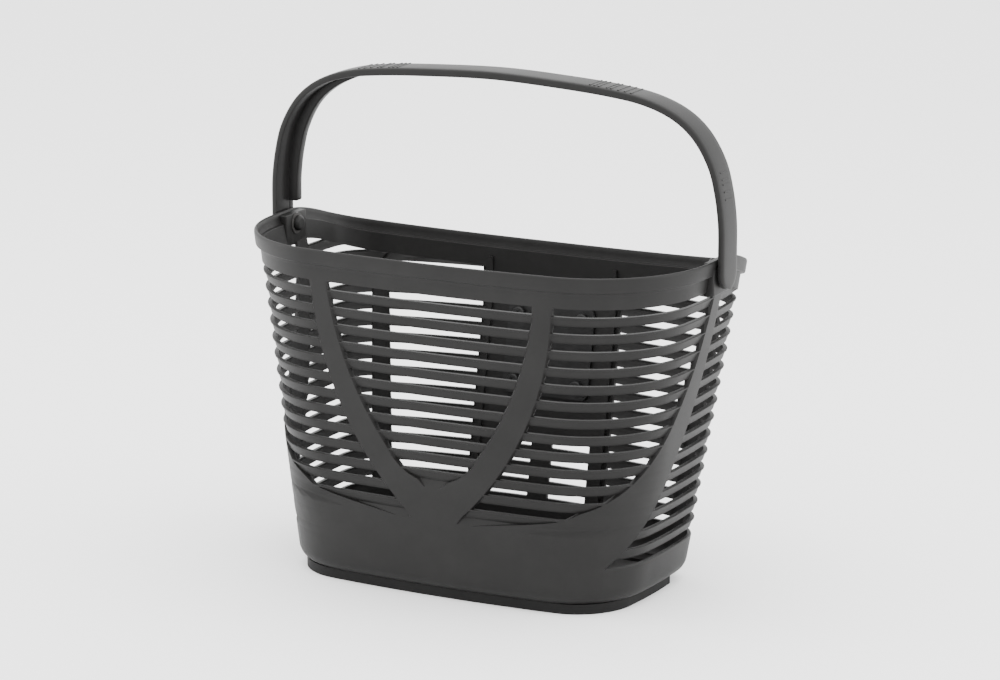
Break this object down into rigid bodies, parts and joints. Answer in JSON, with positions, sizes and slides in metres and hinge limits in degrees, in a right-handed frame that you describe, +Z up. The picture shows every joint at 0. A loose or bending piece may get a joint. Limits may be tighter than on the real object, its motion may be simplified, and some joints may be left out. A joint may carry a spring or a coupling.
{
  "type": "handlebar basket",
  "caption": "Slatted plastic handlebar basket with a proud rim band, a swing-up carry handle and a hook plate with a release lever on the back.",
  "frame": {"origin": "on the underside of the plinth, on the symmetry plane, straight below the handle's pivot axis", "axes": "+Z up; -Y is the front, away from the rider; +Y is the back, where the hook plate is; +X is the right side seen from the front"},
  "size_m": [0.3496, 0.2135, 0.3515],
  "materials": {
    "shell_plastic": "fine-grained satin black",
    "plinth_plastic": "dull black",
    "handle_plastic": "satin black",
    "cap_plastic": "satin black",
    "latch_plastic": "satin black",
    "lever_plastic": "satin dark grey",
    "bearing_plastic": "smooth black nylon",
    "zinc_steel": "zinc-plated",
    "pin_steel": "plain turned"
  },
  "bodies": {
    "basket": {"basket_shell": "shell_plastic", "base_plinth": "plinth_plastic", "plinth_screws": "zinc_steel", "pivot_bush_left": "bearing_plastic", "pivot_bush_right": "bearing_plastic", "pivot_washer_left": "bearing_plastic", "pivot_washer_right": "bearing_plastic", "backing_plate": "zinc_steel", "hook_plate": "latch_plastic", "mount_screws": "zinc_steel", "mount_washers": "zinc_steel", "mount_nuts": "zinc_steel", "lever_axle": "pin_steel", "lever_spring": "pin_steel"},
    "handle": {"carry_handle": "handle_plastic", "pivot_pin_left": "pin_steel", "pivot_pin_right": "pin_steel", "pivot_cap_left": "cap_plastic", "pivot_cap_right": "cap_plastic"},
    "lever": {"release_lever": "lever_plastic"}
  },
  "joints": [
    {"name": "handle_swing", "type": "hinge", "parent": "basket", "child": "handle", "pos_m": [0, 0, 0.2285], "axis": [1, 0, 0], "range_deg": [-25, 70]},
    {"name": "lever_press", "type": "hinge", "parent": "basket", "child": "lever", "pos_m": [0, 0.09886, 0.18052], "axis": [1, 0, 0], "range_deg": [0, 12], "stiffness_Nm_per_rad": 0.4, "springref_deg": -8.59, "deforming": ["lever_spring"]}
  ]
}
